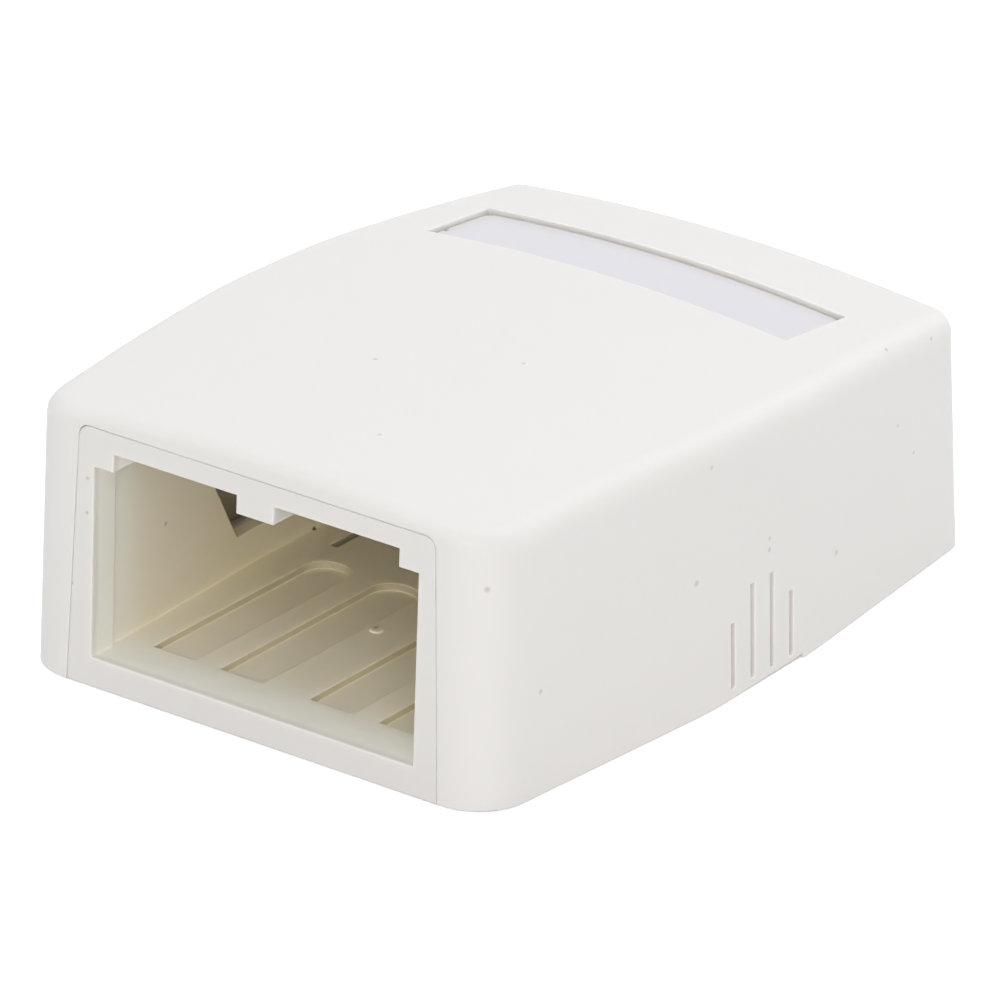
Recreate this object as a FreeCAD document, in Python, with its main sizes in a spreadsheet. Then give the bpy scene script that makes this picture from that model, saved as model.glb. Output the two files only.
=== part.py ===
import FreeCAD, Part
import math
import os
import Sketcher

# Surface mount jack box for two snap-in modules. Millimetres, +Z up, front at -Y.
# The shapes are drawn with the front plane at y = 0 and moved back by half the length at the end,
# so the origin is the middle of the footprint.

doc = FreeCAD.newDocument("jack_box")
sheet = doc.addObject("Spreadsheet::Sheet", "sizes")

SIZES = [
    # outline of the cover on the mounting plane
    ("box_length", "68.57"),
    ("front_flare", "2.21"),
    ("half_grip", "25.25"),
    ("rear_flare", "2.7"),
    ("grip_front", "27.5"),
    ("grip_rear", "41.3"),
    ("bend_radius", "60"),
    ("no_inset", "0"),
    ("side_draft", "0.0132"),
    ("rear_draft", "0.123"),
    ("corner_radius", "4.8"),
    ("rear_corner_radius", "2.4"),
    # domed top: crown across, arch along
    ("crest_height", "25.51"),
    ("crest_back", "24.6"),
    ("arch_radius", "300.6"),
    ("crown_radius", "176"),
    ("form_height", "30"),
    ("crown_reach", "40"),
    ("shoulder_radius", "2.2"),
    ("brow_radius", "1"),
    ("rear_brow_radius", "1.6"),
    # walls and clearances
    ("wall", "1.8"),
    ("front_wall", "1.6"),
    ("top_wall", "1.6"),
    ("cover_gap", "0.3"),
    ("frame_gap", "0.07"),
    # front frame of the base
    ("frame_side", "2.35"),
    ("frame_top", "22.5"),
    ("frame_draft", "0.0394"),
    ("frame_depth", "2.9"),
    ("frame_corner", "1"),
    ("frame_lip_depth", "1.4"),
    ("frame_lip_height", "1.4"),
    # window for the two modules
    ("window_half", "15.9"),
    ("window_step_top", "19.18"),
    ("window_top", "20.75"),
    ("window_step_half", "14"),
    ("window_tab_half", "1.8"),
    ("window_step", "0.15"),
    # floor, side walls and slots of the base
    ("floor_thick", "2.55"),
    ("side_inner_rear", "17"),
    ("side_thick", "1.65"),
    ("side_bend", "24"),
    ("side_top", "21.2"),
    ("side_crest_end", "11.2"),
    ("side_slant_end", "20.6"),
    ("side_low", "5.5"),
    ("side_rear_gap", "6.57"),
    ("cable_half", "7"),
    ("cable_top", "9"),
    ("cable_corner", "2.5"),
    # long shallow pockets of the floor
    ("pocket_front", "4.8"),
    ("pocket_back", "27.1"),
    ("pocket_inner_near", "2.25"),
    ("pocket_inner_far", "6.6"),
    ("pocket_outer_near", "9.05"),
    ("pocket_outer_far", "13.3"),
    ("pocket_depth", "0.6"),
    ("pocket_end_radius", "2"),
    # slits and screw holes through the floor
    ("gate_across", "1.3"),
    ("gate_back", "18.6"),
    ("gate_width", "1.1"),
    ("gate_height", "0.15"),
    ("slit_centre", "13.7"),
    ("slit_half", "0.4"),
    ("slit_front", "29.6"),
    ("slit_back", "35.6"),
    ("screw_across", "10"),
    ("screw_back", "47"),
    ("screw_hole", "4.2"),
    # finger grooves and tapered finger relief low on both sides of the cover
    ("groove_first", "30.45"),
    ("groove_pitch", "2.75"),
    ("groove_width", "0.62"),
    ("groove_cut", "0.7"),
    ("groove_foot", "0.9"),
    ("groove_short", "6.8"),
    ("groove_tall", "9.4"),
    ("groove_tilt", "3.3"),
    ("relief_front", "27"),
    ("relief_back", "40.9"),
    ("relief_in", "0.35"),
    ("relief_up", "0.5"),
    ("notch_width", "0.2"),
    ("notch_in", "0.6"),
    ("notch_up", "0.95"),
    ("run_over", "1"),
    ("edge_start", "0.02"),
    # catch beads inside the cover, above the floor plate
    ("bead_reach", "0.15"),
    ("bead_foot", "2.9"),
    ("bead_height", "0.6"),
    ("bead_front", "31"),
    ("bead_back", "38"),
    # label recess, card and clear strip
    ("recess_half", "17.9"),
    ("recess_front", "47.2"),
    ("recess_back", "56.1"),
    ("recess_depth", "1.2"),
    ("recess_backing", "1"),
    ("card_thick", "0.2"),
    ("strip_thick", "0.55"),
    ("strip_side_gap", "0.15"),
    ("strip_rear_gap", "0.3"),
    ("card_side_gap", "0.95"),
    ("sheet_corner", "1.1"),
    ("nick_setback", "1.9"),
    ("nick_width", "0.6"),
    ("nick_depth", "0.4"),
]
DERIVED = [
    ("half_front", "=half_grip - front_flare"),
    ("half_rear", "=half_grip - rear_flare"),
    ("frame_half_low", "=window_half + frame_side"),
    ("side_inner_front", "=window_half + window_step"),
    ("side_back", "=box_length - side_rear_gap"),
    ("bend_slope", "=(half_grip - half_front) / grip_front"),
    ("tail_slope", "=(half_grip - half_rear) / (box_length - grip_rear)"),
    ("bend_turn", "=atan(bend_slope)"),
    ("tail_turn", "=atan(tail_slope)"),
    ("bend_b_back", "=grip_front + bend_radius * tan(bend_turn / 2)"),
    ("bend_c_back", "=grip_rear - bend_radius * tan(tail_turn / 2)"),
    ("side_angle", "=atan(side_draft) / 1 deg"),
    ("rear_angle", "=atan(rear_draft) / 1 deg"),
    ("rear_lean", "=rear_draft * form_height"),
    ("length_up", "=box_length - rear_lean"),
    ("core_corner", "=corner_radius - wall"),
    ("floor_inset", "=wall + cover_gap + side_draft * floor_thick"),
    ("floor_front", "=front_wall + cover_gap"),
    ("core_end", "=box_length - wall"),
    ("floor_end", "=box_length - wall - cover_gap - rear_draft * floor_thick"),
    ("frame_half_high", "=frame_half_low - frame_draft * frame_top"),
    ("cut_half_low", "=frame_half_low + frame_gap"),
    ("cut_top", "=frame_top + frame_gap"),
    ("cut_half_high", "=frame_half_low + frame_gap - frame_draft * (frame_top + frame_gap)"),
    ("frame_cut_run", "=2 * (front_wall + cover_gap)"),
    ("frame_corner_cut", "=frame_corner + frame_gap"),
    ("lip_level", "=frame_top - frame_lip_height"),
    ("side_outer_front", "=side_inner_front + side_thick"),
    ("side_outer_rear", "=side_inner_rear + side_thick"),
    ("side_back_inner", "=side_back - side_thick"),
    ("rear_post_half", "=cable_half + 0.5"),
    ("slit_near", "=slit_centre - slit_half"),
    ("slit_far", "=slit_centre + slit_half"),
    ("pocket_floor", "=floor_thick - pocket_depth"),
    ("cable_run", "=box_length + 1 - side_back"),
    ("bead_top", "=bead_foot + bead_height"),
    ("arc_centre", "=arch_radius - crown_radius"),
    ("axis_level", "=crest_height - arch_radius"),
    ("strip_half", "=recess_half - strip_side_gap"),
    ("strip_front", "=recess_front + strip_side_gap"),
    ("strip_back", "=recess_back - strip_rear_gap"),
    ("card_half", "=recess_half - card_side_gap"),
    ("card_front", "=recess_front + card_side_gap"),
    ("card_back", "=recess_back - card_side_gap"),
    ("card_top_depth", "=recess_depth - card_thick"),
    ("strip_top_depth", "=recess_depth - card_thick - strip_thick"),
    ("nick_inner", "=strip_half - nick_depth"),
    ("nick_front", "=strip_front + nick_setback"),
    ("nick_back", "=strip_front + nick_setback + nick_width"),
    ("shift_back", "=-box_length / 2"),
]



def outline_rows(name, inset, front, back):
    """Corners of the flared outline, moved inwards by an inset and cut off at front and back."""
    curve = "(bend_radius - %s)" % inset
    return [
        (name + "_front", "=" + front),
        (name + "_back", "=" + back),
        (name + "_half_front", "=half_front + bend_slope * %s - %s / cos(bend_turn)" % (front, inset)),
        (name + "_half_a", "=half_grip - %s - %s * (1 - cos(bend_turn))" % (inset, curve)),
        (name + "_back_a", "=bend_b_back - %s * sin(bend_turn)" % curve),
        (name + "_half_grip", "=half_grip - %s" % inset),
        (name + "_half_d", "=half_grip - %s - %s * (1 - cos(tail_turn))" % (inset, curve)),
        (name + "_back_d", "=bend_c_back + %s * sin(tail_turn)" % curve),
        (name + "_half_back", "=half_rear + tail_slope * (box_length - %s) - %s / cos(tail_turn)"
         % (back, inset)),
        (name + "_bend", "=" + curve),
    ]


ROWS = SIZES + DERIVED
ROWS = ROWS + outline_rows("form", "no_inset", "no_inset", "box_length")
ROWS = ROWS + outline_rows("core", "wall", "front_wall", "core_end")
ROWS = ROWS + outline_rows("plate", "floor_inset", "floor_front", "floor_end")
ROWS = ROWS + [("bead_root", "=core_half_grip + 0.3"), ("bead_tip", "=core_half_grip - bead_reach")]
for row, (alias, text) in enumerate(ROWS, start=1):
    sheet.set("A%d" % row, alias)
    sheet.setAlias("B%d" % row, alias)
for row, (alias, text) in enumerate(ROWS, start=1):
    sheet.set("B%d" % row, text)
doc.recompute()


def size(name):
    """Number held by the sheet under a name."""
    return float(sheet.get(name))


def bind(item, prop, text):
    item.setExpression(prop, text)


def new_body(name):
    return doc.addObject("PartDesign::Body", name)


def plane_of(body, role):
    for item in body.Origin.OriginFeatures:
        if item.Role == role:
            return item
    raise ValueError(role)


def new_sketch(body, name, role, lift=None):
    """Sketch on an origin plane of the body, moved along the plane's normal by a named size."""
    sketch = body.newObject("Sketcher::SketchObject", name)
    sketch.AttachmentSupport = [(plane_of(body, role), "")]
    sketch.MapMode = "FlatFace"
    if lift:
        bind(sketch, "AttachmentOffset.Base.z", lift)
    doc.recompute()
    return sketch


def pin_point(sketch, geo, pos, across, up):
    """Ties a point to the sketch origin by two named sizes; a leading minus mirrors it."""
    for kind, text in (("DistanceX", across), ("DistanceY", up)):
        if text == "0":
            axis = -2 if kind == "DistanceX" else -1
            sketch.addConstraint(Sketcher.Constraint("PointOnObject", geo, pos, axis))
            continue
        negative = text.startswith("-")
        alias = text.lstrip("-")
        value = size(alias)
        if negative:
            rule = Sketcher.Constraint(kind, geo, pos, -1, 1, value)
        else:
            rule = Sketcher.Constraint(kind, -1, 1, geo, pos, value)
        index = sketch.addConstraint(rule)
        bind(sketch, "Constraints[%d]" % index, "sizes." + alias)


def place(text):
    if text == "0":
        return 0.0
    if text.startswith("-"):
        return -size(text[1:])
    return size(text)


def draw_polygon(sketch, points):
    """Closed outline through points given as pairs of size names."""
    first = sketch.GeometryCount
    total = len(points)
    spots = [FreeCAD.Vector(place(a), place(b), 0) for a, b in points]
    for i in range(total):
        sketch.addGeometry(Part.LineSegment(spots[i], spots[(i + 1) % total]))
    for i in range(total):
        after = first + (i + 1) % total
        sketch.addConstraint(Sketcher.Constraint("Coincident", first + i, 2, after, 1))
    for i, (across, up) in enumerate(points):
        pin_point(sketch, first + i, 1, across, up)


def draw_flared(sketch, name):
    """The flared outline: straight sides joined by soft upright bends, the same on both halves."""
    points = both_halves([
        (name + "_half_front", name + "_front"),
        (name + "_half_a", name + "_back_a"),
        (name + "_half_grip", "bend_b_back"),
        (name + "_half_grip", "bend_c_back"),
        (name + "_half_d", name + "_back_d"),
        (name + "_half_back", name + "_back"),
    ])
    bends = (1, 3, 7, 9)
    radius = size(name + "_bend")
    total = len(points)
    spots = [FreeCAD.Vector(place(a), place(b), 0) for a, b in points]
    for i in range(total):
        begin = spots[i]
        end = spots[(i + 1) % total]
        if i not in bends:
            sketch.addGeometry(Part.LineSegment(begin, end))
            continue
        chord = end - begin
        left = FreeCAD.Vector(-chord.y, chord.x, 0).normalize()
        rise = math.sqrt(radius ** 2 - (chord.Length / 2) ** 2)
        centre = (begin + end) * 0.5 + left * rise
        circle = Part.Circle(centre, FreeCAD.Vector(0, 0, 1), radius)
        first = math.atan2(begin.y - centre.y, begin.x - centre.x)
        last = math.atan2(end.y - centre.y, end.x - centre.x)
        sketch.addGeometry(Part.ArcOfCircle(circle, first, last))
    for i in range(total):
        after = (i + 1) % total
        sketch.addConstraint(Sketcher.Constraint("Coincident", i, 2, after, 1))
    for i, (across, up) in enumerate(points):
        pin_point(sketch, i, 1, across, up)
    for i in bends:
        index = sketch.addConstraint(Sketcher.Constraint("Radius", i, radius))
        bind(sketch, "Constraints[%d]" % index, "sizes.%s_bend" % name)


def mirrored(points):
    """The same outline on the other side, in reverse order."""
    back = []
    for across, up in reversed(points):
        back.append((across[1:] if across.startswith("-") else "-" + across, up))
    return back


def both_halves(points):
    return points + mirrored(points)


def draw_circle(sketch, across, up, diameter):
    spot = FreeCAD.Vector(place(across), place(up), 0)
    normal = FreeCAD.Vector(0, 0, 1)
    geo = sketch.addGeometry(Part.Circle(spot, normal, size(diameter) / 2))
    pin_point(sketch, geo, 3, across, up)
    index = sketch.addConstraint(Sketcher.Constraint("Diameter", geo, size(diameter)))
    bind(sketch, "Constraints[%d]" % index, "sizes." + diameter)


def pad(body, sketch, name, length, both=False, reverse=False):
    item = body.newObject("PartDesign::Pad", name)
    item.Profile = sketch
    bind(item, "Length", "sizes." + length)
    item.Midplane = both
    item.Reversed = reverse
    body.Tip = item
    doc.recompute()
    return item


def pocket(body, sketch, name, length=None, both=False, reverse=False):
    item = body.newObject("PartDesign::Pocket", name)
    item.Profile = sketch
    if length:
        bind(item, "Length", "sizes." + length)
    else:
        item.Type = 1
    item.Midplane = both
    item.Reversed = reverse
    body.Tip = item
    doc.recompute()
    return item


def edge_names(shape, wanted):
    return ["Edge%d" % (i + 1) for i, edge in enumerate(shape.Edges) if wanted(edge)]


def upright(edge):
    box = edge.BoundBox
    return len(edge.Vertexes) == 2 and box.ZLength > 3 * max(box.XLength, box.YLength)


def upright_short(edge):
    box = edge.BoundBox
    return len(edge.Vertexes) == 2 and box.ZLength > 1 and max(box.XLength, box.YLength) < 0.1


def round_edges(body, base, name, radius, wanted):
    item = body.newObject("PartDesign::Fillet", name)
    names = edge_names(base.Shape, wanted)
    if not names:
        raise ValueError("no edges for " + name)
    item.Base = (base, names)
    bind(item, "Radius", "sizes." + radius)
    body.Tip = item
    doc.recompute()
    return item


def crown_cut(body, name, depth=None, keep_below=True):
    """Removes what lies above (or below) the domed top surface, lowered by a named depth."""
    plane = plane_of(body, "XZ_Plane")
    sketch = body.newObject("Sketcher::SketchObject", name + "_profile")
    sketch.AttachmentSupport = [(plane, "")]
    sketch.MapMode = "FlatFace"
    bind(sketch, "AttachmentOffset.Base.y", "sizes.axis_level")
    bind(sketch, "AttachmentOffset.Base.z", "-sizes.crest_back")
    doc.recompute()
    sunk = size(depth) if depth else 0.0
    radius = size("crown_radius") - sunk
    centre = size("arch_radius") - size("crown_radius")
    reach = size("crown_reach")
    drop = math.sqrt(radius ** 2 - reach ** 2)
    limit = size("arch_radius") + (30.0 if keep_below else -60.0)
    middle = FreeCAD.Vector(0, centre, 0)
    start = math.atan2(drop, reach)
    circle = Part.Circle(middle, FreeCAD.Vector(0, 0, 1), radius)
    arc = sketch.addGeometry(Part.ArcOfCircle(circle, start, math.pi - start))
    corners = [
        FreeCAD.Vector(-reach, centre + drop, 0),
        FreeCAD.Vector(-reach, limit, 0),
        FreeCAD.Vector(reach, limit, 0),
        FreeCAD.Vector(reach, centre + drop, 0),
    ]
    lines = []
    for i in range(3):
        lines.append(sketch.addGeometry(Part.LineSegment(corners[i], corners[i + 1])))
    sketch.addConstraint(Sketcher.Constraint("Coincident", arc, 2, lines[0], 1))
    sketch.addConstraint(Sketcher.Constraint("Coincident", lines[0], 2, lines[1], 1))
    sketch.addConstraint(Sketcher.Constraint("Coincident", lines[1], 2, lines[2], 1))
    sketch.addConstraint(Sketcher.Constraint("Coincident", lines[2], 2, arc, 1))
    sketch.addConstraint(Sketcher.Constraint("Vertical", lines[0]))
    sketch.addConstraint(Sketcher.Constraint("Horizontal", lines[1]))
    sketch.addConstraint(Sketcher.Constraint("Vertical", lines[2]))
    pin_point(sketch, arc, 3, "0", "arc_centre")
    index = sketch.addConstraint(Sketcher.Constraint("Radius", arc, radius))
    formula = "sizes.crown_radius"
    if depth:
        formula += " - sizes." + depth
    bind(sketch, "Constraints[%d]" % index, formula)
    for pos, sign in ((1, 1), (2, -1)):
        rule = Sketcher.Constraint("DistanceX", -1, 1, arc, pos, reach)
        if sign < 0:
            rule = Sketcher.Constraint("DistanceX", arc, pos, -1, 1, reach)
        index = sketch.addConstraint(rule)
        bind(sketch, "Constraints[%d]" % index, "sizes.crown_reach")
    sketch.addConstraint(Sketcher.Constraint("DistanceY", -1, 1, lines[1], 1, limit))
    doc.recompute()
    item = body.newObject("PartDesign::Groove", name)
    item.Profile = sketch
    item.ReferenceAxis = (sketch, ["H_Axis"])
    item.Angle = 40.0
    item.Midplane = True
    body.Tip = item
    doc.recompute()
    return item


def draft_faces(body, base, name, angle, wanted):
    """Leans upright faces inwards towards the top, hinged on the mounting plane."""
    item = body.newObject("PartDesign::Draft", name)
    names = ["Face%d" % (i + 1) for i, face in enumerate(base.Shape.Faces) if wanted(face)]
    if not names:
        raise ValueError("no faces for " + name)
    item.Base = (base, names)
    item.NeutralPlane = (plane_of(body, "XY_Plane"), [""])
    bind(item, "Angle", "sizes." + angle)
    body.Tip = item
    doc.recompute()
    return item


def facing(face, axis):
    """Upright planar face turned mostly to the side (0) or to the back (1)."""
    low_u, high_u, low_v, high_v = face.ParameterRange
    normal = face.normalAt((low_u + high_u) / 2, (low_v + high_v) / 2)
    if abs(normal.z) > 0.5:
        return False
    sideways = abs(normal.x) > abs(normal.y)
    if axis == 0:
        return sideways
    return not sideways and face.BoundBox.YMin > size("box_length") / 2


# ---- cover: outer form, flared to the grips and tapering behind them, with a domed top
form = new_body("cover_form")
low = new_sketch(form, "form_low", "XY_Plane")
draw_flared(low, "form")
block = pad(form, low, "form_block", "form_height")
block = draft_faces(form, block, "side_draft_faces", "side_angle", lambda face: facing(face, 0))
block = draft_faces(form, block, "rear_draft_face", "rear_angle", lambda face: facing(face, 1))
front_limit = 2.0
block = round_edges(
    form, block, "front_corners", "corner_radius",
    lambda edge: upright(edge) and edge.BoundBox.YMax < front_limit)
crown_cut(form, "domed_top")



def blend_radius(point):
    """Small radius over the front, wide one along both shoulders."""
    if point.y < 1.0:
        return size("brow_radius")
    return size("shoulder_radius")


top_edges_from = 0.6 * size("form_height")
rounded = doc.addObject("Part::Fillet", "cover_rounded")
rounded.Base = form
blends = []
for index, edge in enumerate(form.Shape.Edges, start=1):
    if edge.BoundBox.ZMin < top_edges_from:
        continue
    begin = edge.valueAt(edge.FirstParameter)
    end = edge.valueAt(edge.LastParameter)
    if min(begin.y, end.y) > size("length_up") - 2:
        continue
    blends.append((index, blend_radius(begin), blend_radius(end)))
rounded.Edges = blends
doc.recompute()


def cutter(name):
    return new_body(name)


# rear corners, then the rear brow
rear_posts = []
for index, edge in enumerate(rounded.Shape.Edges, start=1):
    if upright(edge) and edge.BoundBox.YMin > size("length_up") - 1 and edge.BoundBox.ZLength > 10:
        rear_posts.append((index, size("rear_corner_radius"), size("rear_corner_radius")))
for index, edge in enumerate(rounded.Shape.Edges, start=1):
    box = edge.BoundBox
    if box.YMin > size("length_up") - 1 and box.ZMin > top_edges_from and box.XLength > size("half_rear"):
        rear_posts.append((index, size("rear_brow_radius"), size("rear_brow_radius")))
rear_round = doc.addObject("Part::Fillet", "rear_corners")
rear_round.Base = rounded
rear_round.Edges = rear_posts
doc.recompute()

# ---- cover: hollow, with its own flare, draft and ceiling
core = cutter("cover_core")
core_plan = new_sketch(core, "core_plan", "XY_Plane")
draw_flared(core_plan, "core")
core_block = pad(core, core_plan, "core_block", "form_height")
core_block = draft_faces(core, core_block, "core_side_draft", "side_angle",
                         lambda face: facing(face, 0))
core_block = draft_faces(core, core_block, "core_rear_draft", "rear_angle",
                         lambda face: facing(face, 1))
core_block = round_edges(
    core, core_block, "core_front_corners", "core_corner",
    lambda edge: upright(edge) and edge.BoundBox.YMax < 4.0)
crown_cut(core, "core_ceiling", "top_wall")

# thicker patch of ceiling that backs the label recess
slope = (size("recess_front") + size("recess_back")) / 2 - size("crest_back")
tilt = math.degrees(math.asin(slope / size("arch_radius")))
patch = core.newObject("PartDesign::SubtractiveBox", "label_backing")
patch_half = size("recess_half") + size("wall")
patch_reach = size("recess_back") - size("recess_front") + 2 * size("wall")
patch.Length = 2 * patch_half
patch.Width = patch_reach
patch.Height = 6.0
arc_height = size("arch_radius") * math.cos(math.radians(tilt))
patch_level = size("axis_level") + arc_height
patch_sink = size("recess_depth") + size("recess_backing") + 0.9
turn = FreeCAD.Rotation(FreeCAD.Vector(1, 0, 0), -tilt)
corner = FreeCAD.Vector(-patch_half, -patch_reach / 2, -patch_sink)
middle = FreeCAD.Vector(0, size("crest_back") + slope, patch_level)
patch.Placement = FreeCAD.Placement(middle + turn.multVec(corner), turn)
core.Tip = patch
doc.recompute()

# ---- cover: U-shaped cut round the frame of the base
frame_cut = cutter("frame_cut")
cut_sketch = new_sketch(frame_cut, "frame_cut_outline", "XZ_Plane")
draw_polygon(cut_sketch, both_halves([("cut_half_low", "0"), ("cut_half_high", "cut_top")]))
cut_block = pad(frame_cut, cut_sketch, "frame_cut_block", "frame_cut_run", both=True)
round_edges(
    frame_cut, cut_block, "frame_cut_corners", "frame_corner_cut",
    lambda edge: edge.BoundBox.ZMin > size("frame_top") - 1 and edge.BoundBox.YLength > 2)

# ---- cover: curved recess for the label
recess = cutter("label_recess")
recess_plan = new_sketch(recess, "recess_plan", "XY_Plane")
draw_polygon(recess_plan, both_halves([("recess_half", "recess_front"),
                                       ("recess_half", "recess_back")]))
pad(recess, recess_plan, "recess_block", "form_height")
crown_cut(recess, "recess_floor", "recess_depth", keep_below=False)

# ---- cover: finger grooves and the tapered relief under them, ending in a fine notch
GROOVE_HEIGHTS = ["groove_short", "groove_tall", "groove_tall", "groove_short"]
grip_cuts = []


def side_box(name, side, deep, width, height):
    """Box that cuts into one side of the cover to a named depth."""
    block = doc.addObject("Part::Box", name)
    bind(block, "Length", "sizes.%s + sizes.run_over" % deep)
    bind(block, "Width", "sizes." + width)
    bind(block, "Height", height)
    if side > 0:
        bind(block, "Placement.Base.x", "sizes.half_grip - sizes." + deep)
    else:
        bind(block, "Placement.Base.x", "-sizes.half_grip - sizes.run_over")
    grip_cuts.append(block)
    return block


for number, height in enumerate(GROOVE_HEIGHTS):
    for side in (1, -1):
        groove = side_box("finger_groove_%d" % (len(grip_cuts) + 1), side, "groove_cut",
                          "groove_width", "sizes.%s - sizes.groove_foot" % height)
        lean = FreeCAD.Rotation(FreeCAD.Vector(1, 0, 0), size("groove_tilt"))
        groove.Placement = FreeCAD.Placement(groove.Placement.Base, lean)
        bind(groove, "Placement.Base.y",
             "sizes.groove_first + %d * sizes.groove_pitch" % number)
        bind(groove, "Placement.Base.z", "sizes.groove_foot")

for side in (1, -1):
    notch = side_box("relief_notch_%d" % (1 if side > 0 else 2), side, "notch_in",
                     "notch_width", "sizes.notch_up + sizes.run_over")
    bind(notch, "Placement.Base.y", "sizes.relief_back - sizes.notch_width")
    bind(notch, "Placement.Base.z", "-sizes.run_over")
    relief = doc.addObject("Part::Wedge", "finger_relief_%d" % (1 if side > 0 else 2))
    outer = "sizes.half_grip + sizes.run_over"
    near = "sizes.half_grip + sizes.edge_start"
    far = "sizes.half_grip - sizes.relief_in"
    bind(relief, "Ymin", "sizes.relief_front")
    bind(relief, "Ymax", "sizes.relief_back")
    bind(relief, "Zmin", "-sizes.run_over")
    bind(relief, "Z2min", "-sizes.run_over")
    bind(relief, "Zmax", "-sizes.edge_start")
    bind(relief, "Z2max", "sizes.relief_up")
    if side > 0:
        bind(relief, "Xmax", outer)
        bind(relief, "X2max", outer)
        bind(relief, "Xmin", near)
        bind(relief, "X2min", far)
    else:
        bind(relief, "Xmin", "-(%s)" % outer)
        bind(relief, "X2min", "-(%s)" % outer)
        bind(relief, "Xmax", "-(%s)" % near)
        bind(relief, "X2max", "-(%s)" % far)
    grip_cuts.append(relief)
doc.recompute()

# ---- cover: arched cable entry through the rear wall
cable = cutter("cable_entry")
cable_sketch = new_sketch(cable, "cable_outline", "XZ_Plane", "-sizes.box_length - 1")
draw_polygon(cable_sketch, both_halves([("cable_half", "0"), ("cable_half", "cable_top")]))
cable_block = pad(cable, cable_sketch, "cable_block", "cable_run")
round_edges(
    cable, cable_block, "cable_corners", "cable_corner",
    lambda edge: edge.BoundBox.ZMin > size("cable_top") - 1 and edge.BoundBox.YLength > 2)
doc.recompute()

cutters = doc.addObject("Part::MultiFuse", "cover_cutters")
cutters.Shapes = [core, frame_cut, recess, cable] + grip_cuts
hollow = doc.addObject("Part::Cut", "cover_hollow")
hollow.Base = rear_round
hollow.Tool = cutters
doc.recompute()

# ---- cover: two catch beads that hook over the floor plate
beads = []
for side in (1, -1):
    bead = doc.addObject("Part::Box", "catch_bead_%d" % (len(beads) + 1))
    bind(bead, "Length", "sizes.bead_root - sizes.bead_tip")
    bind(bead, "Width", "sizes.bead_back - sizes.bead_front")
    bind(bead, "Height", "sizes.bead_height")
    bind(bead, "Placement.Base.y", "sizes.bead_front")
    bind(bead, "Placement.Base.z", "sizes.bead_foot")
    if side > 0:
        bind(bead, "Placement.Base.x", "sizes.bead_tip")
    else:
        bind(bead, "Placement.Base.x", "-sizes.bead_root")
    beads.append(bead)
cover = doc.addObject("Part::MultiFuse", "cover")
cover.Shapes = [hollow] + beads
cover.Refine = True
cover.Label = "cover"
bind(cover, "Placement.Base.y", "sizes.shift_back")
doc.recompute()

# ---- base: floor plate with frame and slanted side walls, one moulding
base = new_body("base")
floor_plan = new_sketch(base, "floor_plan", "XY_Plane")
draw_flared(floor_plan, "plate")
plate = pad(base, floor_plan, "floor_plate", "floor_thick")
plate = round_edges(
    base, plate, "floor_front_corners", "core_corner",
    lambda edge: upright_short(edge) and edge.BoundBox.YMax < 4.0)

walls = new_sketch(base, "side_wall_plan", "XY_Plane")
WALL_PLAN = [
    ("side_inner_front", "floor_front"),
    ("side_inner_rear", "side_bend"),
    ("side_inner_rear", "side_back_inner"),
    ("rear_post_half", "side_back_inner"),
    ("rear_post_half", "side_back"),
    ("side_outer_rear", "side_back"),
    ("side_outer_rear", "side_bend"),
    ("side_outer_front", "floor_front"),
]
draw_polygon(walls, WALL_PLAN)
draw_polygon(walls, mirrored(WALL_PLAN))
pad(base, walls, "side_walls", "side_top")

# the walls stand full height behind the frame, slant down and run on low to the rear
slant = new_sketch(base, "slant_outline", "YZ_Plane")
draw_polygon(slant, [
    ("side_crest_end", "side_top"),
    ("side_slant_end", "side_low"),
    ("box_length", "side_low"),
    ("box_length", "form_height"),
    ("side_crest_end", "form_height"),
])
pocket(base, slant, "slant_cut", both=True)

frame_outline = new_sketch(base, "frame_outline", "XZ_Plane")
draw_polygon(frame_outline, both_halves([("frame_half_low", "0"),
                                         ("frame_half_high", "frame_top")]))
frame = pad(base, frame_outline, "front_frame", "frame_depth", reverse=True)
frame = round_edges(
    base, frame, "frame_corners", "frame_corner",
    lambda edge: edge.BoundBox.ZMin > size("frame_top") - 1
    and edge.BoundBox.YLength > 2 and edge.BoundBox.XLength < 1)

lip = new_sketch(base, "lip_outline", "YZ_Plane")
draw_polygon(lip, [
    ("frame_lip_depth", "lip_level"),
    ("side_bend", "lip_level"),
    ("side_bend", "form_height"),
    ("frame_lip_depth", "form_height"),
])
pocket(base, lip, "lip_cut", both=True)

window = new_sketch(base, "window_outline", "XZ_Plane", "-sizes.frame_depth")
draw_polygon(window, both_halves([
    ("window_half", "floor_thick"),
    ("window_half", "window_step_top"),
    ("window_step_half", "window_step_top"),
    ("window_step_half", "window_top"),
    ("window_tab_half", "window_top"),
    ("window_tab_half", "window_step_top"),
]))
pocket(base, window, "window_cut", "frame_depth", reverse=True)

pockets = new_sketch(base, "pocket_plan", "XY_Plane", "sizes.floor_thick")
for near, far in (("pocket_inner_near", "pocket_inner_far"),
                  ("pocket_outer_near", "pocket_outer_far")):
    outline = [(near, "pocket_front"), (far, "pocket_front"),
               (far, "pocket_back"), (near, "pocket_back")]
    draw_polygon(pockets, outline)
    draw_polygon(pockets, mirrored(outline))
dished = pocket(base, pockets, "floor_pockets", "pocket_depth")
round_edges(
    base, dished, "pocket_ends", "pocket_end_radius",
    lambda edge: abs(edge.BoundBox.ZLength - size("pocket_depth")) < 0.01
    and edge.BoundBox.ZMax < size("floor_thick") + 0.01
    and abs(edge.BoundBox.YMin - size("pocket_back")) < 0.01)

# small round mark left by the moulding gate
gate = new_sketch(base, "gate_plan", "XY_Plane", "sizes.floor_thick")
draw_circle(gate, "-gate_across", "gate_back", "gate_width")
pad(base, gate, "gate_mark", "gate_height")

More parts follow.
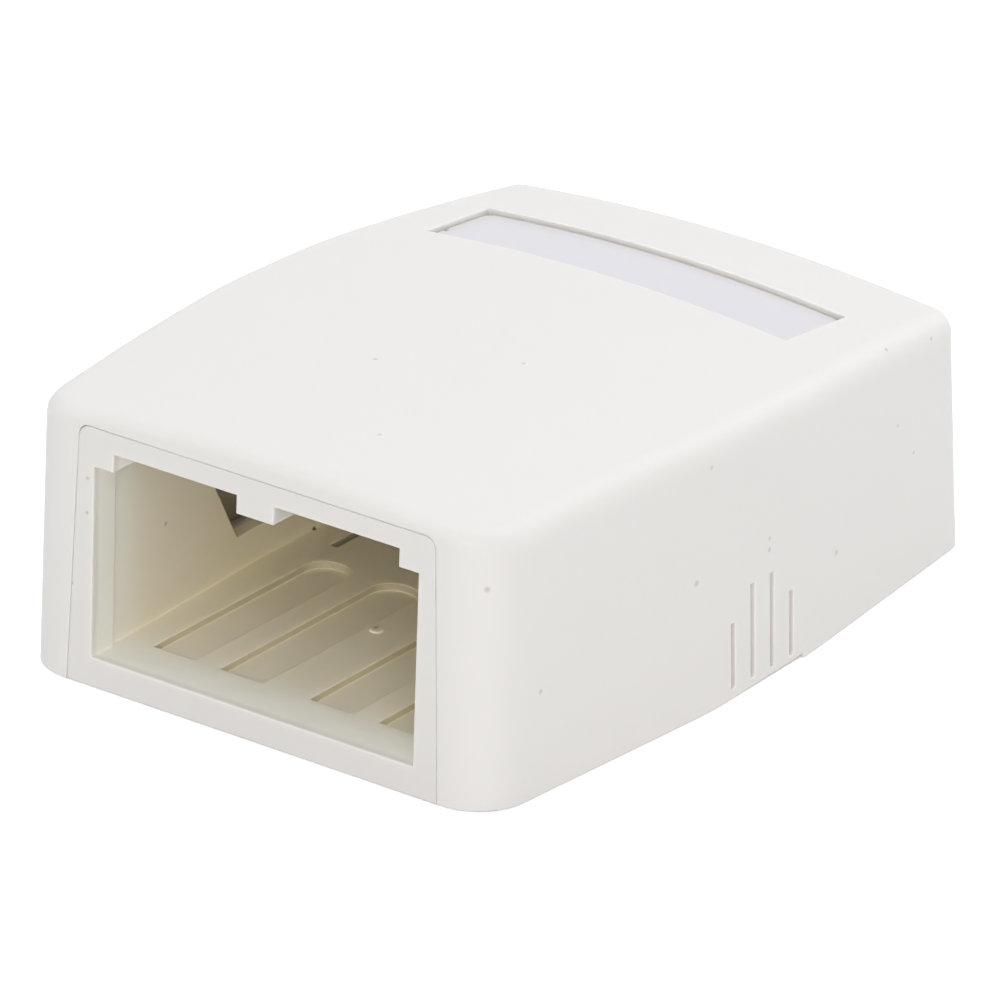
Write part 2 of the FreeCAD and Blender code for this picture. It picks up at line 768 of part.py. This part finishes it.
slits = new_sketch(base, "slit_plan", "XY_Plane")
SLIT = [("slit_near", "slit_front"), ("slit_far", "slit_front"),
        ("slit_far", "slit_back"), ("slit_near", "slit_back")]
draw_polygon(slits, SLIT)
draw_polygon(slits, mirrored(SLIT))
pocket(base, slits, "floor_slits", "floor_thick", reverse=True)

screws = new_sketch(base, "screw_plan", "XY_Plane")
draw_circle(screws, "screw_across", "screw_back", "screw_hole")
draw_circle(screws, "-screw_across", "screw_back", "screw_hole")
pocket(base, screws, "screw_holes", "floor_thick", reverse=True)
base.Label = "base"
bind(base, "Placement.Base.y", "sizes.shift_back")


def curved_sheet(name, half, front, back, top_depth, bottom_depth):
    """Strip that follows the dome between two depths below it."""
    body = new_body(name)
    plan = new_sketch(body, name + "_plan", "XY_Plane")
    draw_polygon(plan, both_halves([(half, front), (half, back)]))
    block = pad(body, plan, name + "_block", "form_height")
    round_edges(body, block, name + "_rear_corners", "sheet_corner",
                lambda edge: upright(edge) and edge.BoundBox.YMin > size(back) - 0.01)
    crown_cut(body, name + "_top", top_depth)
    crown_cut(body, name + "_underside", bottom_depth, keep_below=False)
    body.Label = name
    bind(body, "Placement.Base.y", "sizes.shift_back")
    return body


card = curved_sheet("label_card", "card_half", "card_front", "card_back",
                    "card_top_depth", "recess_depth")
strip = curved_sheet("label_window", "strip_half", "strip_front", "strip_back",
                     "strip_top_depth", "card_top_depth")
nicks = new_sketch(strip, "nick_plan", "XY_Plane")
NICK = [("nick_inner", "nick_front"), ("strip_half", "nick_front"),
        ("strip_half", "nick_back"), ("nick_inner", "nick_back")]
draw_polygon(nicks, NICK)
draw_polygon(nicks, mirrored(NICK))
pocket(strip, nicks, "pry_nicks", "form_height", reverse=True)
doc.recompute()

# ---- checks and export
for item in doc.Objects:
    if "Invalid" in item.State or "Error" in item.State:
        raise RuntimeError("not solved: " + item.Name)
os.makedirs("parts", exist_ok=True)
for item in (base, cover, card, strip):
    shape = item.Shape
    if shape.isNull() or not shape.isValid() or shape.Volume <= 0:
        raise RuntimeError("bad shape: " + item.Label)
    box = shape.optimalBoundingBox()
    print(item.Label, len(shape.Solids), round(shape.Volume, 1),
          [round(v, 2) for v in (box.XMin, box.XMax, box.YMin, box.YMax, box.ZMin, box.ZMax)])
    shape.exportStep("parts/%s.step" % item.Label)
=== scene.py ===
import math
import bpy
import bmesh
from mathutils import Matrix, Vector

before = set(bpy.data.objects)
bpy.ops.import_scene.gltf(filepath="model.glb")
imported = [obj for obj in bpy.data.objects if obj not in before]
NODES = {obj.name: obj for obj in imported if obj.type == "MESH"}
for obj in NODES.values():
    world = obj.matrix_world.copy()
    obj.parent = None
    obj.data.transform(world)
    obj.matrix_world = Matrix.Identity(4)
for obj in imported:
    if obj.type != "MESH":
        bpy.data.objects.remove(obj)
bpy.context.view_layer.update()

MM = 0.001
EDGE_ROUNDING = 0.15 * MM  # what the mould leaves on every sharp edge
BOX_MIDDLE = Vector((0, 0, 11)) * MM  # a point inside, that inner faces look towards


def srgb(hex_code):
    """An sRGB hex value as the linear colour that a shader socket takes."""
    parts = [int(hex_code[i:i + 2], 16) / 255 for i in (1, 3, 5)]
    linear = [p / 12.92 if p <= 0.04045 else ((p + 0.055) / 1.055) ** 2.4 for p in parts]
    return (*linear, 1.0)


def add(tree, kind, settings=None, inputs=None):
    """A new node with its settings; an input is a plain value or another node's output socket."""
    node = tree.nodes.new(kind)
    for name, value in (settings or {}).items():
        setattr(node, name, value)
    for name, value in (inputs or {}).items():
        socket = node.inputs[name]
        if isinstance(value, bpy.types.NodeSocket):
            tree.links.new(value, socket)
        else:
            socket.default_value = value
    return node


def new_material(name, **shader):
    """A material with one Principled BSDF; every constant is set on the shader's own socket."""
    material = bpy.data.materials.new(name)
    material.use_nodes = True
    tree = material.node_tree
    tree.nodes.clear()
    bsdf = add(tree, "ShaderNodeBsdfPrincipled", inputs=shader)
    out = add(tree, "ShaderNodeOutputMaterial")
    tree.links.new(bsdf.outputs["BSDF"], out.inputs["Surface"])
    return material


def shader_of(material):
    return next(n for n in material.node_tree.nodes if n.type == "BSDF_PRINCIPLED")


def eroded_skin(material, grain_mm, depth_mm, strength):
    """The spark-eroded skin of a moulding tool, as a bump. Its grain is drawn coarser than the real one."""
    tree = material.node_tree
    coords = add(tree, "ShaderNodeTexCoord")
    noise = add(tree, "ShaderNodeTexNoise", inputs={
        "Vector": coords.outputs["Object"], "Scale": 1 / (grain_mm * MM), "Detail": 2.0, "Roughness": 0.5})
    worn_edge = add(tree, "ShaderNodeBevel", {"samples": 4}, {"Radius": EDGE_ROUNDING})
    bump = add(tree, "ShaderNodeBump", inputs={
        "Height": noise.outputs["Fac"], "Distance": depth_mm * MM, "Strength": strength,
        "Normal": worn_edge.outputs["Normal"]})
    tree.links.new(bump.outputs["Normal"], shader_of(material).inputs["Normal"])


def moulded_abs(name, hex_code, bleed_mm):
    """Moulded ABS, an opaque office-white thermoplastic: satin from the tool, with a little bleed of light.

    The bleed softens the parting line and the edges, and the skin breaks up the shine without a visible grain.
    """
    material = new_material(name, **{
        "Base Color": srgb(hex_code), "Roughness": 0.6, "IOR": 1.54,
        "Subsurface Weight": 1.0, "Subsurface Scale": bleed_mm * MM,
        "Subsurface Radius": (1.0, 0.95, 0.85)})
    shader_of(material).subsurface_method = "BURLEY"
    eroded_skin(material, grain_mm=0.25, depth_mm=0.01, strength=0.25)
    return material


def tint_where(material, masks, hex_code):
    """Lays a colour over the material's own, as far as all of the masks let it through."""
    tree = material.node_tree
    amount = masks[0]
    for mask in masks[1:]:
        amount = add(tree, "ShaderNodeMath", {"operation": "MULTIPLY"}, {
            0: amount, 1: mask}).outputs["Value"]
    socket = shader_of(material).inputs["Base Color"]
    under = socket.links[0].from_socket if socket.is_linked else tuple(socket.default_value)
    mix = add(tree, "ShaderNodeMix", {"data_type": "RGBA"}, {0: amount, 6: under, 7: srgb(hex_code)})
    tree.links.new(mix.outputs[2], socket)


def inside_box(tree, half_x_mm, y_mm, z_mm):
    """1 inside a block of the piece's own space, given in millimetres, and 0 outside it."""
    coords = add(tree, "ShaderNodeTexCoord")
    offset = add(tree, "ShaderNodeVectorMath", {"operation": "SUBTRACT"}, {
        0: coords.outputs["Object"], 1: Vector((0, sum(y_mm) / 2, sum(z_mm) / 2)) * MM})
    apart = add(tree, "ShaderNodeVectorMath", {"operation": "ABSOLUTE"}, {0: offset.outputs["Vector"]})
    room = add(tree, "ShaderNodeVectorMath", {"operation": "SUBTRACT"}, {
        0: Vector((half_x_mm, (y_mm[1] - y_mm[0]) / 2, (z_mm[1] - z_mm[0]) / 2)) * MM,
        1: apart.outputs["Vector"]})
    left = add(tree, "ShaderNodeSeparateXYZ", inputs={"Vector": room.outputs["Vector"]})
    least = add(tree, "ShaderNodeMath", {"operation": "MINIMUM"}, {
        0: left.outputs["X"], 1: left.outputs["Y"]})
    least = add(tree, "ShaderNodeMath", {"operation": "MINIMUM"}, {
        0: least.outputs["Value"], 1: left.outputs["Z"]})
    inside = add(tree, "ShaderNodeMath", {"operation": "GREATER_THAN"}, {0: least.outputs["Value"], 1: 0.0})
    return inside.outputs["Value"]


def faces_inward(tree):
    """1 on the faces that look towards the middle of the box."""
    coords = add(tree, "ShaderNodeTexCoord")
    outward = add(tree, "ShaderNodeVectorMath", {"operation": "SUBTRACT"}, {
        0: coords.outputs["Object"], 1: BOX_MIDDLE})
    facing = add(tree, "ShaderNodeVectorMath", {"operation": "DOT_PRODUCT"}, {
        0: outward.outputs["Vector"], 1: coords.outputs["Normal"]})
    inward = add(tree, "ShaderNodeMath", {"operation": "LESS_THAN"}, {0: facing.outputs["Value"], 1: 0.0})
    return inward.outputs["Value"]


def behind(tree, start_mm, end_mm):
    """Rises from 0 to 1 along the box, from the first place to the second."""
    coords = add(tree, "ShaderNodeTexCoord")
    place = add(tree, "ShaderNodeSeparateXYZ", inputs={"Vector": coords.outputs["Object"]})
    depth = add(tree, "ShaderNodeMapRange", {"interpolation_type": "SMOOTHSTEP"}, {
        "Value": place.outputs["Y"], "From Min": start_mm * MM, "From Max": end_mm * MM})
    return depth.outputs["Result"]


def moulded_in_specks(material, node, specks_mm, hex_code):
    """Soft-edged specks in the plastic, centred on the skin of the piece: x, y, z and width of each."""
    tree = material.node_tree
    coords = add(tree, "ShaderNodeTexCoord")
    total = 0.0
    for x, y, z, width in specks_mm:
        spot = NODES[node].closest_point_on_mesh(Vector((x, y, z)) * MM)[1]
        away = add(tree, "ShaderNodeVectorMath", {"operation": "DISTANCE"}, {
            0: coords.outputs["Object"], 1: spot})
        speck = add(tree, "ShaderNodeMapRange", {"interpolation_type": "SMOOTHSTEP"}, {
            "Value": away.outputs["Value"], "From Min": width * MM / 2, "From Max": width * MM / 10})
        total = add(tree, "ShaderNodeMath", {"operation": "MAXIMUM"}, {
            0: total, 1: speck.outputs["Result"]}).outputs["Value"]
    tint_where(material, [total], hex_code)


BASE_WHITE = "#E4E1DD"
cover_abs = moulded_abs("moulded_abs_cover", "#E8E5E2", bleed_mm=0.3)
base_abs = moulded_abs("moulded_abs_base", BASE_WHITE, bleed_mm=0.6)

# the inside, in millimetres: all of it lies behind the mouth of the window and short of the rear wall
MOUTH = -34.2
MODULE_BAYS = {"half_x_mm": 18.2, "y_mm": (-35, 14), "z_mm": (0.3, 22)}
FLOOR_POCKETS = {"half_x_mm": 18.2, "y_mm": (-31, 14), "z_mm": (1, 2.6)}
# the band of the low pocket walls, which is darkened below with painted shade
SHADED_POCKET_WALLS = {"half_x_mm": 18.2, "y_mm": (-31, 14), "z_mm": (1.98, 2.52)}
COVER_CAVITY = {"half_x_mm": 23.4, "y_mm": (-32.6, 33.2), "z_mm": (-1, 21.8)}

# painted light: thin office-white walls let light through, and the warm glow this gives the inside is painted
# into the colour, warm behind the mouth and fading back to white
tree = base_abs.node_tree
bays = add(tree, "ShaderNodeMath", {"operation": "MULTIPLY"}, {
    0: faces_inward(tree), 1: inside_box(tree, **MODULE_BAYS)})
inside = add(tree, "ShaderNodeMath", {"operation": "MAXIMUM"}, {
    0: bays.outputs["Value"], 1: inside_box(tree, **FLOOR_POCKETS)})
for start, end, hex_code in ((MOUTH, MOUTH + 1, "#FEFDF4"), (MOUTH + 1, -25, "#FAF1DA"),
                             (-24, -12, "#FFF4D4"), (3, 13, BASE_WHITE)):
    tint_where(base_abs, [inside.outputs["Value"], behind(tree, start, end)], hex_code)
# painted shade: the low walls round the floor pockets are darkened as if in shade
tint_where(base_abs, [inside_box(tree, **SHADED_POCKET_WALLS)], "#D3C9AC")
# painted light: the inner skin of the cover is painted warm for the same reason, the light through its thin
# walls
tree = cover_abs.node_tree
tint_where(cover_abs, [faces_inward(tree), inside_box(tree, **COVER_CAVITY)], "#E9DDC2")

# grey specks on the top, the rear corner, the side and the front corner of the cover
moulded_in_specks(cover_abs, "cover", [
    (-3, -14.5, 25.5, 0.6), (5.5, -25.5, 25, 0.5), (6.5, -7.5, 25.5, 0.5),
    (23, 20, 22, 0.6), (22.5, 27, 20.5, 0.5), (24, 21.5, 15, 0.5), (24, 24.5, 11.5, 0.5),
    (25, -9, 12, 0.8), (25, -7.5, 21.5, 0.5), (25, 1, 11.5, 0.6), (25, 1, 12.5, 0.5),
    (25, 11.5, 7.5, 0.7), (21.5, -33, 19, 0.7), (23.5, -28, 9, 0.6)], "#CDC9C1")
# warmer ones on the inner wall, the gate mark and the front frame of the base
moulded_in_specks(base_abs, "base", [
    (-16, -24, 10.5, 0.6), (-1.5, -15.5, 2.5, 0.7), (-16.5, -34.5, 18, 0.5),
    (-16.5, -34.5, 15, 0.5), (-18, -34.5, 8.5, 0.5)], "#C9C5B9")
# and one burnt black, where the left wall meets the floor
moulded_in_specks(base_abs, "base", [(-17, -3, 2.5, 0.7)], "#3A3228")

# uncoated card with a cool whitener: an even dull sheet without a highlight
card_paper = new_material("uncoated_label_card", **{
    "Base Color": srgb("#F6F4FB"), "Roughness": 0.8, "IOR": 1.45})
# clear polycarbonate, moulded with a frosted face: the card shows through softly, under a faint sheen
clear_strip = new_material("frosted_polycarbonate_strip", **{
    "Base Color": srgb("#EFEDEA"), "Roughness": 0.35, "IOR": 1.58, "Alpha": 0.8})
# where the card lies under it the strip takes the card's cool tint; past the card's ends it stays plain
OVER_THE_CARD = {"half_x_mm": 16.9, "y_mm": (12, 21), "z_mm": (20, 25)}
tint_where(clear_strip, [inside_box(clear_strip.node_tree, **OVER_THE_CARD)], "#EDEBF0")

for node, material in (("cover", cover_abs), ("base", base_abs),
                       ("label_card", card_paper), ("label_window", clear_strip)):
    mesh = NODES[node].data
    mesh.materials.clear()
    mesh.materials.append(material)

# ---- stage: floor, lamps, world and camera
FLOOR_WIDTH = 3.0
FLOOR_GAP = 0.05 * MM  # keeps the floor clear of the underside
FLOOR_GLOW = 0.5       # lifts the floor to the white of the background where it is seen
SKY_FILL = 0.63
SKY_WHITE = 1.0
WHITE = (1, 1, 1, 1)
BLACK = (0, 0, 0, 1)


def seen_directly(tree):
    """1 for the rays that show the surroundings as such: straight, mirrored or through clear plastic."""
    path = add(tree, "ShaderNodeLightPath")
    direct = add(tree, "ShaderNodeMath", {"operation": "MAXIMUM"}, {
        0: path.outputs["Is Camera Ray"], 1: path.outputs["Is Transmission Ray"]})
    seen = add(tree, "ShaderNodeMath", {"operation": "MAXIMUM"}, {
        0: direct.outputs["Value"], 1: path.outputs["Is Glossy Ray"]})
    return seen.outputs["Value"]


mesh = bpy.data.meshes.new("floor")
shape = bmesh.new()
bmesh.ops.create_grid(shape, x_segments=1, y_segments=1, size=FLOOR_WIDTH / 2,
                      matrix=Matrix.Translation((0, 0, -FLOOR_GAP)))
shape.to_mesh(mesh)
shape.free()
floor = bpy.data.objects.new("floor", mesh)
bpy.context.scene.collection.objects.link(floor)
# matt paper takes the shadow; its glow is only for the eye and adds no light to the part
paper_floor = new_material("matt_white_paper_floor", **{
    "Base Color": srgb("#E4E4E4"), "Roughness": 0.9, "Specular IOR Level": 0.0})
tree = paper_floor.node_tree
glow = add(tree, "ShaderNodeEmission", inputs={"Color": WHITE, "Strength": FLOOR_GLOW})
dark = add(tree, "ShaderNodeEmission", inputs={"Color": BLACK, "Strength": 0.0})
pick = add(tree, "ShaderNodeMixShader", inputs={
    0: seen_directly(tree), 1: dark.outputs[0], 2: glow.outputs[0]})
both = add(tree, "ShaderNodeAddShader", inputs={
    0: shader_of(paper_floor).outputs[0], 1: pick.outputs[0]})
output = next(n for n in tree.nodes if n.type == "OUTPUT_MATERIAL")
tree.links.new(both.outputs[0], output.inputs["Surface"])
floor.data.materials.append(paper_floor)

# an even white room: brighter where it is seen than as a lamp
world = bpy.data.worlds.new("studio")
bpy.context.scene.world = world
world.use_nodes = True
tree = world.node_tree
tree.nodes.clear()
level = add(tree, "ShaderNodeMix", {"data_type": "FLOAT"}, {
    0: seen_directly(tree), 2: SKY_FILL, 3: SKY_WHITE})
sky = add(tree, "ShaderNodeBackground", inputs={"Color": WHITE, "Strength": level.outputs[0]})
add(tree, "ShaderNodeOutputWorld", inputs={"Surface": sky.outputs[0]})


def softbox(name, spot, width, watts, hex_code):
    """A square area lamp that faces the middle of the scene."""
    lamp = bpy.data.lights.new(name, "AREA")
    lamp.color = srgb(hex_code)[:3]
    lamp.shape = "SQUARE"
    lamp.size = width
    lamp.energy = watts
    item = bpy.data.objects.new(name, lamp)
    item.location = spot
    item.rotation_euler = (-Vector(spot)).to_track_quat("-Z", "Y").to_euler()
    bpy.context.scene.collection.objects.link(item)


softbox("softbox_top_left", (-0.9, 0.0, 1.4), 1.0, 5.6, "#F9FBFF")
softbox("softbox_front", (0.9, -1.4, 0.5), 0.8, 5.9, "#FFFFFF")
softbox("softbox_high", (0.8, -1.2, 1.1), 0.8, 4.0, "#FFFFFF")
softbox("softbox_rear", (0.3, 1.4, 0.9), 0.9, 9.0, "#F9FBFF")

# ---- camera: a long lens from the right of the mouth, rolled a little
AZIMUTH = math.radians(34.94)
ELEVATION = math.radians(24.07)
ROLL = math.radians(-1.95)
DISTANCE = 828.8 * MM
TARGET = Vector((0, -2.285, 10)) * MM
FOCAL_LENGTH = 368.6  # millimetres, for a sensor 36 mm wide
right = Vector((math.cos(AZIMUTH), math.sin(AZIMUTH), 0))
back = Vector((math.sin(AZIMUTH) * math.cos(ELEVATION),
               -math.cos(AZIMUTH) * math.cos(ELEVATION), math.sin(ELEVATION)))
up = back.cross(right)
turned_right = math.cos(ROLL) * right - math.sin(ROLL) * up
turned_up = math.sin(ROLL) * right + math.cos(ROLL) * up
lens = bpy.data.cameras.new("camera")
lens.sensor_width = 36
lens.lens = FOCAL_LENGTH
lens.shift_x = 0.0102
lens.shift_y = -0.0023
lens.clip_start = 0.05
camera = bpy.data.objects.new("camera", lens)
turn = Matrix((turned_right, turned_up, back)).transposed()
camera.matrix_world = Matrix.Translation(TARGET + DISTANCE * back) @ turn.to_4x4()
bpy.context.scene.collection.objects.link(camera)
bpy.context.scene.camera = camera
bpy.context.scene.view_settings.view_transform = "Standard"
